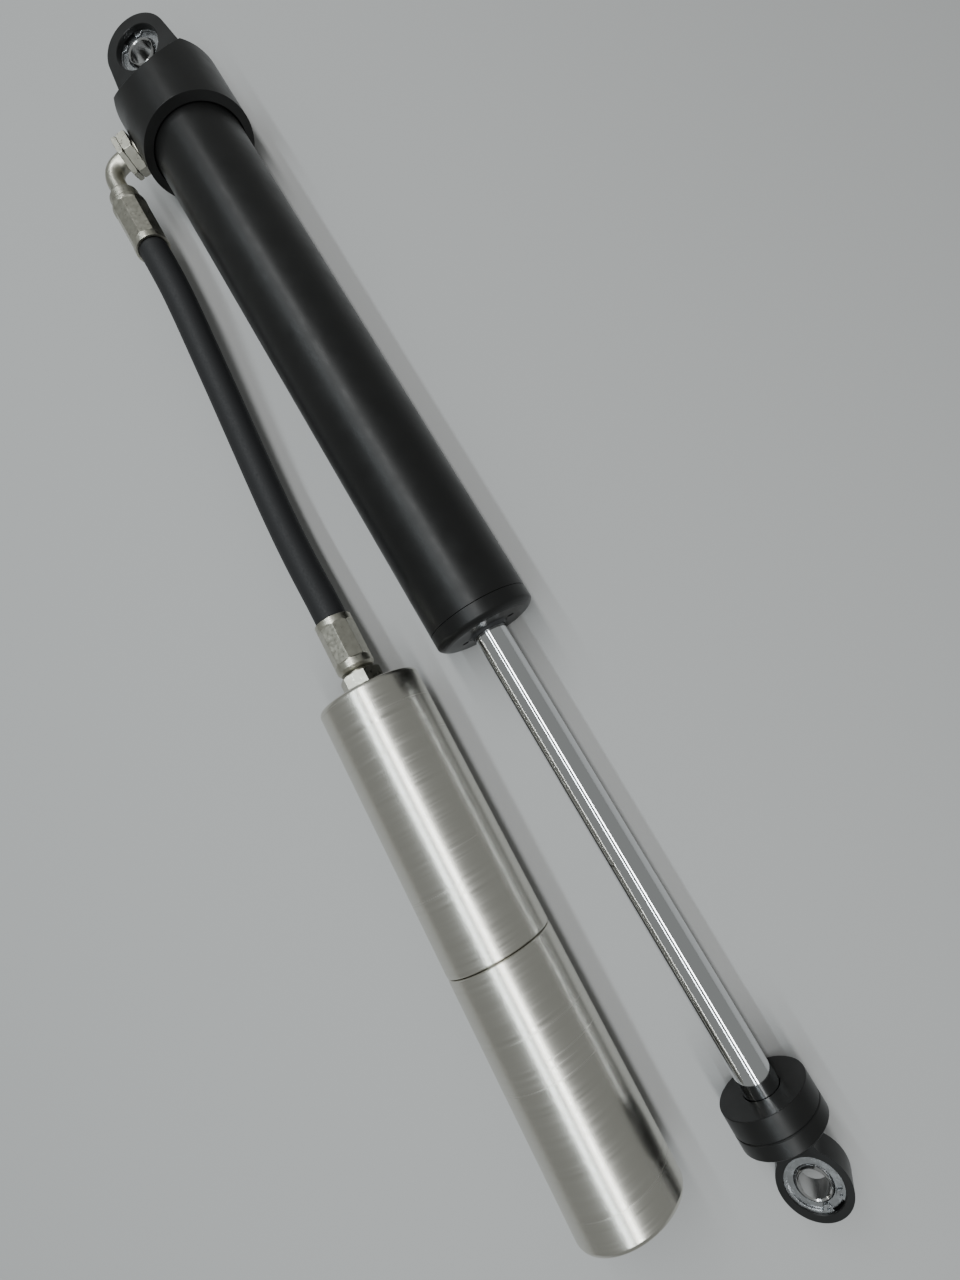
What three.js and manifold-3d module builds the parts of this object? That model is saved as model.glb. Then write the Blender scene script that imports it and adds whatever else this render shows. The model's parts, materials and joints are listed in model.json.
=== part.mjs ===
// A long-stroke monotube hydraulic cylinder with a remote gas reservoir on a crimped hose.
// Millimetres, +Z up. It lies on the surface Z = 0: the head cap and the gland's rim touch it, so the
// cylinder's own axis falls slightly towards the rod end, and the reservoir lies flat beside it.
import * as THREE from 'three';
import { mergeVertices } from 'three/addons/utils/BufferGeometryUtils.js';
import Module from 'manifold-3d';

const wasm = await Module();
wasm.setup();

// ---------------------------------------------------------------- driving dimensions
const GAP = 0.3;                 // clearance kept between neighbouring pieces
const TURN = 2 * Math.PI;
const LARGE = 32;                // sides of the large round pieces
const MEDIUM = 20;
const SMALL = 16;

// cylinder: stations along its own axis, measured from the tube's rod-end face
const TUBE_RADIUS = 34.925;      // 2.75 in outside diameter
const BORE_RADIUS = 31.75;       // 2.5 in bore
const ROD_RADIUS = 11.1125;      // 7/8 in rod
const CAP_RADIUS = 42.4;
const CAP_MOUTH = -418.5;        // face of the head cap that the tube enters
const CAP_END = -476.4;          // face of the head cap that the eye stands on
const CAP_SOCKET_END = -440;     // bottom of the tube's socket
const CAP_SEAL_X = -433.5;       // o-ring in the socket's wall
const CAP_SHOULDER = 16.4;       // how much the milled shoulders take off the cap's radius
const CAP_ROLL = 0.10;           // the eye's turn about the cylinder axis, radians
const PORT_X = -452.4;           // centre of the oil port in the head cap

const UPPER_EYE_X = -516.5;
const UPPER_EYE_RADIUS = 27.2;
const UPPER_EYE_HALF = 13;       // half of the eye's thickness
const LOWER_EYE_X = 371.1;
const LOWER_EYE_RADIUS = 19.6;
const LOWER_EYE_HALF = 8.8;
const LOWER_NECK_HALF = 11.5;    // half width of the neck between flange and eye
const LOWER_NECK_FILLET = 6;
const LOWER_EYE_ROLL = 0.28;
const UPPER_SNAP_GAP = 3.3;      // where each snap ring's gap points, radians from +X
const LOWER_SNAP_GAP = 0.45;

const GLAND_FACE = 12.7;
const GLAND_RIM = 8.3;           // where the gland's face starts to round off
const SPANNER_HOLE_OUT = 17.4;   // from the axis to each spanner hole
const GLAND_DEPTH = -50;         // inner face of the seal head, inside the tube
const COLLAR_RADIUS = 26.8;
const COLLAR_X = 321;            // face of the bump collar
const FLANGE_X = 334.1;          // seam between bump collar and rod end
const FLANGE_END = 343.7;
const PISTON_X = -90;            // compression face of the piston, rod fully out
const PISTON_LENGTH = 24;

// spherical bearings: bore radius, ball radius, ball half width, race radius, race half width
const UPPER_BEARING = { bore: 9.525, ball: 14.29, half: 9.5, race: 18.25, raceHalf: 7.53 };
const LOWER_BEARING = { bore: 7.94, ball: 11.9, half: 7.94, race: 15.08, raceHalf: 6.35 };

// reservoir: stations along its own axis, measured from its hose-end face
const RESERVOIR_LENGTH = 334.4;
const RESERVOIR_SEAM = 179.2;
const END_CAP_X = 314;
const FLOATING_PISTON_X = 214;
const RESERVOIR_HEADING = -0.0279;   // its turn away from the cylinder, seen from above, radians

// hose and fittings
const HOSE_RADIUS = 11;
const FERRULE_RADIUS = 13;
const ELBOW_RADIUS = 7;
const ELBOW_BEND = 15;
const ADAPTOR_OUT = 50.3;        // distance from the cylinder axis to the end of the port adaptor
const NUT_OUT = 55;
const UPPER_FERRULE_X = -426;
const UPPER_FERRULE_LENGTH = 55;
const LOWER_FERRULE_X = -54.2;
const LOWER_FERRULE_LENGTH = 38.4;

// placing of the two axes in the part's frame
const SLOPE = Math.atan((CAP_RADIUS - TUBE_RADIUS) / (GLAND_RIM - CAP_MOUTH));
const CENTRE_X = -76.5;          // middle of the whole object along the cylinder axis
const CENTRE_Y = -45.5;
const SEAM_HEIGHT = CAP_RADIUS * Math.cos(SLOPE) + CAP_MOUTH * Math.sin(SLOPE);
const RESERVOIR_X = 6.3;         // its hose-end face, from the tube's rod-end face
const RESERVOIR_Y = -89.2;

// the hose's centre line in the part's frame, from the upper ferrule to the lower one
const HOSE_ROUTE = [
  [-294.1, -24.5, 41.4], [-276.8, -24.4, 41.0], [-256.8, -24.9, 39.6], [-234.8, -26.6, 37.4],
  [-210.8, -28.9, 35.1], [-186.8, -31.2, 33.0], [-162.8, -33.4, 31.3], [-138.8, -35.6, 30.1],
  [-114.8, -37.6, 29.5], [-90.8, -39.4, 29.5], [-66.8, -40.8, 30.2], [-42.8, -41.7, 31.5],
  [-20.8, -42.0, 33.0], [-2.8, -41.9, 34.1], [13.2, -41.8, 34.8], [28.2, -42.2, 34.9],
];

// ---------------------------------------------------------------- materials
function finish(color, roughness, metalness) {
  return new THREE.MeshStandardMaterial({ color, roughness, metalness });
}
const BLACK_METAL = finish('#1b1c1e', 0.42, 0.7);
const CHROME = finish('#d8dadb', 0.06, 1);
const BRIGHT_ALUMINIUM = finish('#c9c8c2', 0.25, 1);
const ZINC = finish('#a5a392', 0.4, 1);
const STEEL = finish('#8f9294', 0.3, 1);
const BRONZE = finish('#9a7440', 0.45, 1);
const RUBBER = finish('#17181a', 0.85, 0);
const SEAL = finish('#3a3c3e', 0.6, 0);
const WEAR_BAND = finish('#5b4a3a', 0.6, 0);

// ---------------------------------------------------------------- solid helpers
// A geometry as an indexed closed shell: shared vertices merged, slivers dropped, faces outwards.
function shell(geometry) {
  const bare = geometry.clone();
  bare.deleteAttribute('normal');
  bare.deleteAttribute('uv');
  const merged = mergeVertices(bare, 1e-4);
  const position = merged.getAttribute('position');
  const kept = [];
  let volume = 0;
  for (let i = 0; i < merged.index.count; i += 3) {
    const [a, b, c] = [0, 1, 2].map((k) => merged.index.getX(i + k));
    if (a === b || b === c || c === a) continue;
    const [p, q, r] = [a, b, c].map((k) => new THREE.Vector3().fromBufferAttribute(position, k));
    volume += p.dot(q.cross(r));
    kept.push(a, b, c);
  }
  if (volume < 0) kept.reverse();
  merged.setIndex(kept);
  return merged;
}

function toManifold(geometry) {
  const closed = shell(geometry);
  return new wasm.Manifold(new wasm.Mesh({
    numProp: 3,
    vertProperties: new Float32Array(closed.getAttribute('position').array),
    triVerts: new Uint32Array(closed.index.array),
  }));
}

function fromManifold(solid) {
  const mesh = solid.getMesh();
  const geometry = new THREE.BufferGeometry();
  geometry.setAttribute('position', new THREE.BufferAttribute(mesh.vertProperties, 3));
  geometry.setIndex(new THREE.BufferAttribute(mesh.triVerts, 1));
  return geometry;
}

// Joins the first list of geometries, then cuts the second list from the result.
function carve(joined, cut) {
  let solid = toManifold(joined[0]);
  for (const geometry of joined.slice(1)) solid = solid.add(toManifold(geometry));
  for (const geometry of cut) solid = solid.subtract(toManifold(geometry));
  return fromManifold(solid);
}

// Turns a closed profile of [station, radius] pairs about the X axis.
function turned(profile, sides = MEDIUM) {
  const points = [...profile, profile[0]].map(([x, r]) => new THREE.Vector2(r, x));
  const geometry = new THREE.LatheGeometry(points, sides);
  return shell(geometry.rotateZ(-Math.PI / 2));
}

function ring(from, to, inner, outer, sides = MEDIUM) {
  return turned([[from, inner], [to, inner], [to, outer], [from, outer]], sides);
}

// A ring with small bevels on its two outer edges.
function bevelledRing(from, to, inner, outer, bevel, sides = MEDIUM) {
  return turned([
    [from, inner], [to, inner], [to, outer - bevel], [to - bevel, outer],
    [from + bevel, outer], [from, outer - bevel],
  ], sides);
}

function oRing(x, centreRadius, section) {
  const profile = [];
  for (let i = 0; i < 6; i += 1) {
    const angle = (i / 6) * TURN;
    profile.push([x + section * Math.cos(angle), centreRadius + section * Math.sin(angle)]);
  }
  return turned(profile, MEDIUM);
}

// A round bar along X, Y or Z, used as a cutter and for plain pins.
function bar(axis, radius, from, to, sides = SMALL) {
  const geometry = new THREE.CylinderGeometry(radius, radius, to - from, sides);
  geometry.translate(0, (from + to) / 2, 0);
  if (axis === 'x') geometry.rotateZ(-Math.PI / 2);
  if (axis === 'z') geometry.rotateX(Math.PI / 2);
  return geometry;
}

// A flat outline in the XY plane, made symmetrically thick about Z = 0.
function plate(shape, half, curveSegments = 16) {
  const options = { depth: 2 * half, bevelEnabled: false, curveSegments };
  return new THREE.ExtrudeGeometry(shape, options).translate(0, 0, -half);
}

function circleShape(radius, sides) {
  const shape = new THREE.Shape();
  for (let i = 0; i < sides; i += 1) {
    const angle = (i / sides) * TURN;
    const x = radius * Math.cos(angle);
    const y = radius * Math.sin(angle);
    if (i === 0) shape.moveTo(x, y);
    else shape.lineTo(x, y);
  }
  shape.closePath();
  return shape;
}

// A hexagon bar with bevelled corners along +X, with a round hole through it.
function hexNut(acrossFlats, from, to, hole) {
  const corner = acrossFlats / Math.sqrt(3);
  const outline = circleShape(corner, 6);
  const prism = new THREE.ExtrudeGeometry(outline, { depth: to - from, bevelEnabled: false });
  prism.rotateY(Math.PI / 2).translate(from, 0, 0);
  const bevel = 1.2;
  const turnedOutside = turned([
    [from, 0], [from, corner - bevel], [from + bevel, corner + 0.1],
    [to - bevel, corner + 0.1], [to, corner - bevel], [to, 0],
  ], MEDIUM);
  const rounded = fromManifold(toManifold(prism).intersect(toManifold(turnedOutside)));
  return hole > 0 ? carve([rounded], [bar('x', hole, from - 1, to + 1, SMALL)]) : rounded;
}

// ---------------------------------------------------------------- assembly
const object = new THREE.Group();
const cylinder = new THREE.Group();
cylinder.rotation.y = SLOPE;
cylinder.position.set(-CENTRE_X, -CENTRE_Y, SEAM_HEIGHT);
const reservoir = new THREE.Group();
reservoir.rotation.z = RESERVOIR_HEADING;
reservoir.position.set(RESERVOIR_X - CENTRE_X, RESERVOIR_Y - CENTRE_Y, TUBE_RADIUS);
object.add(cylinder, reservoir);

function place(parent, name, geometry, material) {
  const mesh = new THREE.Mesh(geometry, material);
  mesh.name = name;
  parent.add(mesh);
  return mesh;
}

// ---------------------------------------------------------------- spherical bearings and eyes
// The race is a ring with a hollow ball seat.
function bearingRace(b) {
  const seat = b.ball + GAP;
  const reach = Math.asin(b.raceHalf / seat);
  const profile = [[-b.raceHalf, b.race], [-b.raceHalf, seat * Math.cos(reach)]];
  for (let i = 1; i < 6; i += 1) {
    const angle = -reach + (i / 6) * 2 * reach;
    profile.push([seat * Math.sin(angle), seat * Math.cos(angle)]);
  }
  profile.push([b.raceHalf, seat * Math.cos(reach)], [b.raceHalf, b.race]);
  return turned(profile, MEDIUM).rotateY(Math.PI / 2);
}

function bearingBall(b) {
  const reach = Math.asin(b.half / b.ball);
  const profile = [[-b.half, b.bore]];
  for (let i = 0; i <= 6; i += 1) {
    const angle = -reach + (i / 6) * 2 * reach;
    profile.push([b.ball * Math.sin(angle), b.ball * Math.cos(angle)]);
  }
  profile.push([b.half, b.bore]);
  return turned(profile, MEDIUM).rotateY(Math.PI / 2);
}

// An internal snap ring: a C of spring steel with a lug at each end of its gap.
const SNAP_THICKNESS = 1.1;
function snapRing(radius, width, gapAngle) {
  const inner = radius - width;
  const lug = radius - 2.1 * width;
  const lugAngle = gapAngle + 0.24;
  const shape = new THREE.Shape();
  shape.absarc(0, 0, radius, gapAngle, TURN - gapAngle, false);
  shape.absarc(0, 0, lug, TURN - gapAngle, TURN - lugAngle, true);
  shape.absarc(0, 0, inner, TURN - lugAngle - 0.12, lugAngle + 0.12, true);
  shape.absarc(0, 0, lug, lugAngle, gapAngle, true);
  shape.closePath();
  return plate(shape, SNAP_THICKNESS / 2, 7);
}

// The height of a snap ring's middle above the middle of its bearing.
function snapStation(b) {
  return b.raceHalf + GAP / 2 + SNAP_THICKNESS / 2 + 0.1;
}

// The seat and the two snap ring grooves of an eye.
function eyeCutters(b, x) {
  const groove = SNAP_THICKNESS / 2 + GAP / 2;
  const cutters = [bar('z', b.race + GAP, -40, 40, MEDIUM)];
  for (const side of [-1, 1]) {
    const z = side * snapStation(b);
    cutters.push(bar('z', b.race + 1.4, z - groove, z + groove, MEDIUM));
  }
  return cutters.map((geometry) => geometry.translate(x, 0, 0));
}

// The loose pieces of an eye: bearing race, ball and two snap rings.
function fillEye(parent, name, b, x, roll, gapTurn) {
  const eye = new THREE.Group();
  eye.rotation.x = roll;
  parent.add(eye);
  place(eye, `${name}_bearing_race`, bearingRace(b).translate(x, 0, 0), STEEL);
  place(eye, `${name}_bearing_ball`, bearingBall(b).translate(x, 0, 0), CHROME);
  for (const [suffix, side] of [['top', 1], ['bottom', -1]]) {
    const clip = snapRing(b.race + 1, 2.2, 0.28).rotateZ(gapTurn);
    place(eye, `${name}_snap_ring_${suffix}`, clip.translate(x, 0, side * snapStation(b)), STEEL);
  }
}

// ---------------------------------------------------------------- head cap
// A round eye whose straight sides run tangent from a wider root on its +X side.
function taperedEye(eyeX, radius, rootX, rootHalf) {
  const run = rootX - eyeX;
  const touch = Math.atan2(rootHalf, run) + Math.acos(radius / Math.hypot(run, rootHalf));
  const shape = new THREE.Shape();
  shape.moveTo(rootX, rootHalf);
  shape.absarc(eyeX, 0, radius, touch, TURN - touch, false);
  shape.lineTo(rootX, -rootHalf);
  shape.closePath();
  return shape;
}

// A round eye on a narrow neck on its -X side, with a fillet where they meet.
function neckedEye(eyeX, radius, rootX, neckHalf, fillet) {
  const filletY = neckHalf + fillet;
  const filletX = eyeX - Math.sqrt((radius + fillet) ** 2 - filletY ** 2);
  const meet = Math.atan2(filletY, eyeX - filletX);
  const shape = new THREE.Shape();
  shape.moveTo(rootX, -neckHalf);
  shape.absarc(filletX, -filletY, fillet, Math.PI / 2, meet, true);
  shape.absarc(eyeX, 0, radius, meet - Math.PI, Math.PI - meet, false);
  shape.absarc(filletX, filletY, fillet, -meet, -Math.PI / 2, true);
  shape.lineTo(rootX, neckHalf);
  shape.closePath();
  return shape;
}

function headCap() {
  const socket = TUBE_RADIUS + GAP;
  const body = turned([
    [CAP_END, 0], [CAP_END, CAP_RADIUS - 1.2], [CAP_END + 1.2, CAP_RADIUS],
    [CAP_MOUTH - 1.9, CAP_RADIUS], [CAP_MOUTH, socket + 0.6], [CAP_MOUTH - 0.6, socket],
    [CAP_SOCKET_END, socket], [CAP_SOCKET_END, 20], [CAP_SOCKET_END - 14, 20],
    [CAP_SOCKET_END - 22, 0],
  ], LARGE);
  const eye = plate(taperedEye(UPPER_EYE_X, UPPER_EYE_RADIUS, CAP_END + 6, 33), UPPER_EYE_HALF);
  eye.rotateX(CAP_ROLL);
  const cutters = eyeCutters(UPPER_BEARING, UPPER_EYE_X).map((g) => g.rotateX(CAP_ROLL));
  // milled shoulders above and below the eye
  const shoulderRun = 18;
  const pitch = Math.atan2(CAP_SHOULDER, shoulderRun);
  for (const side of [-1, 1]) {
    const block = new THREE.BoxGeometry(60, 120, 30);
    block.translate(-30, 0, 15).rotateY(-pitch);
    block.translate(CAP_END + shoulderRun, 0, CAP_RADIUS);
    if (side < 0) block.rotateX(Math.PI);
    // the block would also reach the eye, so it stops where the eye begins
    cutters.push(carve([block.rotateX(CAP_ROLL)], [keepEye(side)]));
  }
  cutters.push(bar('y', 8.2, -60, -30, SMALL).translate(PORT_X, 0, 0));
  cutters.push(bar('y', 5, -35, 0, 16).translate(PORT_X, 0, 0));
  cutters.push(oRingGroove(CAP_SEAL_X, TUBE_RADIUS - 1, TUBE_RADIUS + 3.2));
  return carve([body, eye], cutters);
}

// The space under a shoulder cutter that belongs to the eye.
function keepEye(side) {
  const block = new THREE.BoxGeometry(120, 120, 40);
  block.translate(CAP_END - 20, 0, 0);
  if (side < 0) block.rotateX(Math.PI);
  return block.rotateX(CAP_ROLL);
}

function oRingGroove(x, inner, outer) {
  return ring(x - 1.7, x + 1.7, inner, outer, LARGE);
}

place(cylinder, 'head_cap', headCap(), BLACK_METAL);
place(cylinder, 'head_cap_oring', oRing(CAP_SEAL_X, TUBE_RADIUS + 1.7, 1.2), SEAL);
fillEye(cylinder, 'upper', UPPER_BEARING, UPPER_EYE_X, CAP_ROLL, UPPER_SNAP_GAP);

place(cylinder, 'cylinder_tube', turned([
  [CAP_SOCKET_END + GAP, BORE_RADIUS + 0.8], [CAP_SOCKET_END + 1.1, BORE_RADIUS], [-0.8, BORE_RADIUS],
  [0, BORE_RADIUS + 0.8], [0, TUBE_RADIUS - 0.4], [-0.4, TUBE_RADIUS],
  [CAP_SOCKET_END + 0.7, TUBE_RADIUS], [CAP_SOCKET_END + GAP, TUBE_RADIUS - 0.4],
], LARGE), BLACK_METAL);

// ---------------------------------------------------------------- gland (rod-end seal head)
const ROD_CLEAR = ROD_RADIUS + GAP;
const HOUSING_RADIUS = BORE_RADIUS - GAP;
const SEAL_RADIUS = 14.8;
const WIPER_RADIUS = 13.6;

function glandCap() {
  const body = turned([
    [-14, SEAL_RADIUS - 2.4], [-14, HOUSING_RADIUS], [GAP, HOUSING_RADIUS], [GAP, TUBE_RADIUS],
    [GLAND_RIM, TUBE_RADIUS], [9.9, 34.2], [11.2, 32.6], [GLAND_FACE, 29.8],
    [GLAND_FACE, WIPER_RADIUS + GAP], [6, WIPER_RADIUS + GAP], [6, SEAL_RADIUS - 2.4],
  ], LARGE);
  const spannerHoles = [-1, 1].map((side) => (
    bar('x', 2.4, 5.5, 20, 12).translate(0, side * SPANNER_HOLE_OUT, 0).rotateX(CAP_ROLL)
  ));
  return carve([body], spannerHoles);
}

function glandBody() {
  return turned([
    [GLAND_DEPTH, SEAL_RADIUS + GAP], [GLAND_DEPTH, HOUSING_RADIUS - 1], [GLAND_DEPTH + 1, HOUSING_RADIUS],
    [-30, HOUSING_RADIUS], [-30, 28.4], [-26, 28.4], [-26, HOUSING_RADIUS],
    [-14 - GAP, HOUSING_RADIUS], [-14 - GAP, SEAL_RADIUS + GAP],
  ], MEDIUM);
}

place(cylinder, 'gland_cap', glandCap(), BLACK_METAL);
place(cylinder, 'gland_body', glandBody(), BRIGHT_ALUMINIUM);
place(cylinder, 'gland_oring', oRing(-28, 30, 1.3), SEAL);
place(cylinder, 'gland_bush', ring(GLAND_DEPTH + 1, -31, ROD_CLEAR, SEAL_RADIUS, MEDIUM), BRONZE);
place(cylinder, 'rod_seal', turned([
  [-30.6, ROD_CLEAR + 1.2], [-29, ROD_CLEAR + 1.6], [-24, ROD_CLEAR + 1.6], [-20, ROD_CLEAR],
  [-16, ROD_CLEAR], [-16, SEAL_RADIUS], [-30.6, SEAL_RADIUS],
], MEDIUM), SEAL);
place(cylinder, 'rod_wiper', turned([
  [6 + GAP, ROD_CLEAR + 0.6], [11, ROD_CLEAR + 0.6], [14.2, ROD_CLEAR], [14.6, ROD_CLEAR + 0.5],
  [13.3, WIPER_RADIUS - 0.8], [12.4, WIPER_RADIUS], [6 + GAP, WIPER_RADIUS],
], MEDIUM), SEAL);

// ---------------------------------------------------------------- port fitting and elbow
// The adaptor screws into the cap's port, and the swivel nut holds the elbow's end to it.
function alongPort(geometry) {
  return geometry.rotateZ(-Math.PI / 2).translate(PORT_X, 0, 0);
}

const ADAPTOR_IN = 30.4;
const HEX_SEAT = CAP_RADIUS + 0.2;
place(cylinder, 'port_adaptor', alongPort(carve(
  [hexNut(27, HEX_SEAT, ADAPTOR_OUT, 0), bar('x', 7.9, ADAPTOR_IN, HEX_SEAT + 2, SMALL)],
  [bar('x', 4, 0, 80, 16)],
)), ZINC);
place(cylinder, 'swivel_nut', alongPort(hexNut(27, ADAPTOR_OUT + GAP, NUT_OUT, ELBOW_RADIUS + GAP)), ZINC);

function elbow() {
  const start = ADAPTOR_OUT + GAP + 0.2;
  const path = new THREE.CurvePath();
  const corner = new THREE.Vector3(PORT_X, -NUT_OUT, 0);
  path.add(new THREE.LineCurve3(new THREE.Vector3(PORT_X, -start, 0), corner));
  path.add(new THREE.QuadraticBezierCurve3(
    corner,
    new THREE.Vector3(PORT_X, -NUT_OUT - ELBOW_BEND, 0),
    new THREE.Vector3(PORT_X + ELBOW_BEND, -NUT_OUT - ELBOW_BEND, 0),
  ));
  path.add(new THREE.LineCurve3(
    new THREE.Vector3(PORT_X + ELBOW_BEND, -NUT_OUT - ELBOW_BEND, 0),
    new THREE.Vector3(UPPER_FERRULE_X - GAP, -NUT_OUT - ELBOW_BEND, 0),
  ));
  const shape = circleShape(ELBOW_RADIUS, 14);
  shape.holes.push(circleShape(4, 8));
  return shell(new THREE.ExtrudeGeometry(shape, { steps: 12, extrudePath: path }));
}

place(cylinder, 'elbow', elbow(), ZINC);

// A crimped ferrule: a stepped neck and an eight-sided crimp, hollow for the oil.
function ferrule(length, neck) {
  return turned([
    [0, 4.2], [length, 4.2], [length, FERRULE_RADIUS - 0.8], [length - 0.8, FERRULE_RADIUS],
    [neck + 1.5, FERRULE_RADIUS], [neck, FERRULE_RADIUS - 1.6], [1.2, FERRULE_RADIUS - 1.6],
    [0, FERRULE_RADIUS - 3.4],
  ], 8).rotateX(Math.PI / 8);
}

const upperFerrule = ferrule(UPPER_FERRULE_LENGTH, 10);
place(cylinder, 'upper_ferrule', upperFerrule.translate(UPPER_FERRULE_X, -NUT_OUT - ELBOW_BEND, 0), ZINC);

// ---------------------------------------------------------------- rod and piston
const ROD_SHOULDER = PISTON_X + PISTON_LENGTH + 5.2;
const ROD_TIP = 351;             // end of the thread inside the rod end
const STUD_RADIUS = 7.9;
const THREAD_RADIUS = 9.5;
place(cylinder, 'rod', turned([
  [PISTON_X - 20, 0], [PISTON_X - 20, STUD_RADIUS - 1], [PISTON_X - 19, STUD_RADIUS],
  [ROD_SHOULDER, STUD_RADIUS], [ROD_SHOULDER, ROD_RADIUS], [FLANGE_X, ROD_RADIUS],
  [FLANGE_X, THREAD_RADIUS], [ROD_TIP, THREAD_RADIUS], [ROD_TIP, 0],
], MEDIUM), CHROME);

const STUD_CLEAR = STUD_RADIUS + GAP;
const BAND_FROM = PISTON_X + 7;
const BAND_TO = PISTON_X + 17;
place(cylinder, 'piston', turned([
  [PISTON_X, STUD_CLEAR], [PISTON_X, BORE_RADIUS - 2.6], [PISTON_X + 1.6, BORE_RADIUS - 0.8],
  [BAND_FROM - GAP, BORE_RADIUS - 0.8], [BAND_FROM - GAP, 29.6], [BAND_TO + GAP, 29.6],
  [BAND_TO + GAP, BORE_RADIUS - 0.8], [PISTON_X + PISTON_LENGTH - 1.6, BORE_RADIUS - 0.8],
  [PISTON_X + PISTON_LENGTH, BORE_RADIUS - 2.6], [PISTON_X + PISTON_LENGTH, STUD_CLEAR],
], MEDIUM), BRIGHT_ALUMINIUM);
place(cylinder, 'piston_band', ring(BAND_FROM, BAND_TO, 29.9, BORE_RADIUS - GAP, LARGE), WEAR_BAND);

// a stack of thin discs, made as one stepped cone
function shimStack(from, direction, clear) {
  return turned([
    [from, clear], [from, 24], [from + direction * 1.2, 24], [from + direction * 1.2, 20],
    [from + direction * 2.4, 20], [from + direction * 2.4, 16], [from + direction * 4.4, 16],
    [from + direction * 4.4, clear],
  ], MEDIUM);
}

place(cylinder, 'compression_shims', shimStack(PISTON_X - GAP, -1, STUD_CLEAR), STEEL);
place(cylinder, 'rebound_shims', shimStack(PISTON_X + PISTON_LENGTH + GAP, 1, STUD_CLEAR), STEEL);
place(cylinder, 'piston_nut', hexNut(24, PISTON_X - 16, PISTON_X - 5, STUD_CLEAR), STEEL);
const BUMPER_RADIUS = 19;
const bumper = bevelledRing(ROD_SHOULDER + GAP, GLAND_DEPTH - 1, ROD_CLEAR, BUMPER_RADIUS, 1.5);
place(cylinder, 'rebound_bumper', bumper, RUBBER);
place(cylinder, 'bump_collar', turned([
  [COLLAR_X, ROD_CLEAR], [COLLAR_X, COLLAR_RADIUS - 0.5], [COLLAR_X + 0.5, COLLAR_RADIUS],
  [FLANGE_X - GAP - 0.3, COLLAR_RADIUS], [FLANGE_X - GAP, COLLAR_RADIUS - 0.3], [FLANGE_X - GAP, ROD_CLEAR],
], LARGE), BLACK_METAL);

function rodEnd() {
  const flange = turned([
    [FLANGE_X, 0], [FLANGE_X, COLLAR_RADIUS - 0.3], [FLANGE_X + 0.3, COLLAR_RADIUS],
    [FLANGE_END - 0.8, COLLAR_RADIUS], [FLANGE_END, COLLAR_RADIUS - 0.8], [FLANGE_END, 17],
    [FLANGE_END + 3, 14], [FLANGE_END + 9, 12], [FLANGE_END + 9, 0],
  ], LARGE);
  const outline = neckedEye(
    LOWER_EYE_X,
    LOWER_EYE_RADIUS,
    FLANGE_END - 2,
    LOWER_NECK_HALF,
    LOWER_NECK_FILLET,
  );
  const eye = plate(outline, LOWER_EYE_HALF);
  eye.rotateX(LOWER_EYE_ROLL);
  const cutters = eyeCutters(LOWER_BEARING, LOWER_EYE_X).map((g) => g.rotateX(LOWER_EYE_ROLL));
  const thread = ring(FLANGE_X - 5, ROD_TIP + 0.5, 0, THREAD_RADIUS + GAP);
  const recess = ring(FLANGE_X - 5, FLANGE_X + GAP, 0, ROD_CLEAR);
  return carve([flange, eye], [...cutters, thread, recess]);
}

place(cylinder, 'rod_end', rodEnd(), BLACK_METAL);
fillEye(cylinder, 'lower', LOWER_BEARING, LOWER_EYE_X, LOWER_EYE_ROLL, LOWER_SNAP_GAP);

// ---------------------------------------------------------------- reservoir
function upperHalf() {
  const wall = 12;
  const body = turned([
    [0, 0], [0, TUBE_RADIUS - 2.5], [0.9, TUBE_RADIUS - 0.8], [2.8, TUBE_RADIUS],
    [RESERVOIR_SEAM - 1.4, TUBE_RADIUS], [RESERVOIR_SEAM - GAP / 2, TUBE_RADIUS - 1.2],
    [RESERVOIR_SEAM - GAP / 2, BORE_RADIUS], [wall + 6, BORE_RADIUS], [wall, BORE_RADIUS - 10], [wall, 0],
  ], LARGE);
  return carve([body], [bar('x', 8.2, -5, 9, SMALL), bar('x', 4.5, 0, 20, 16)]);
}

function lowerHalf() {
  const groove = END_CAP_X + 14 + GAP;
  return turned([
    [RESERVOIR_SEAM + GAP / 2, BORE_RADIUS], [RESERVOIR_SEAM + GAP / 2, TUBE_RADIUS - 1.2],
    [RESERVOIR_SEAM + 1.4, TUBE_RADIUS], [RESERVOIR_LENGTH - 2.8, TUBE_RADIUS],
    [RESERVOIR_LENGTH - 0.9, TUBE_RADIUS - 0.8], [RESERVOIR_LENGTH, TUBE_RADIUS - 2],
    [RESERVOIR_LENGTH, BORE_RADIUS + 0.4], [groove + 2.4, BORE_RADIUS], [groove + 2.4, BORE_RADIUS + 1.4],
    [groove, BORE_RADIUS + 1.4], [groove, BORE_RADIUS],
  ], LARGE);
}

place(reservoir, 'reservoir_upper', upperHalf(), BRIGHT_ALUMINIUM);
place(reservoir, 'reservoir_lower', lowerHalf(), BRIGHT_ALUMINIUM);

function endCap() {
  const outer = HOUSING_RADIUS;
  return turned([
    [END_CAP_X, 5.3], [END_CAP_X, outer - 1], [END_CAP_X + 1, outer], [END_CAP_X + 4, outer],
    [END_CAP_X + 4, 28.4], [END_CAP_X + 8, 28.4], [END_CAP_X + 8, outer], [END_CAP_X + 14, outer],
    [END_CAP_X + 14, 22], [END_CAP_X + 10, 20], [END_CAP_X + 10, 5.3],
  ], MEDIUM);
}

place(reservoir, 'reservoir_end_cap', endCap(), BLACK_METAL);
place(reservoir, 'end_cap_oring', oRing(END_CAP_X + 6, 30, 1.3), SEAL);
const clipX = END_CAP_X + 14 + GAP + 1.2;
const endClip = snapRing(BORE_RADIUS + 1.1, 3, 0.2).rotateY(Math.PI / 2).rotateX(0.6);
place(reservoir, 'end_cap_snap_ring', endClip.translate(clipX, 0, 0), STEEL);

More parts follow.
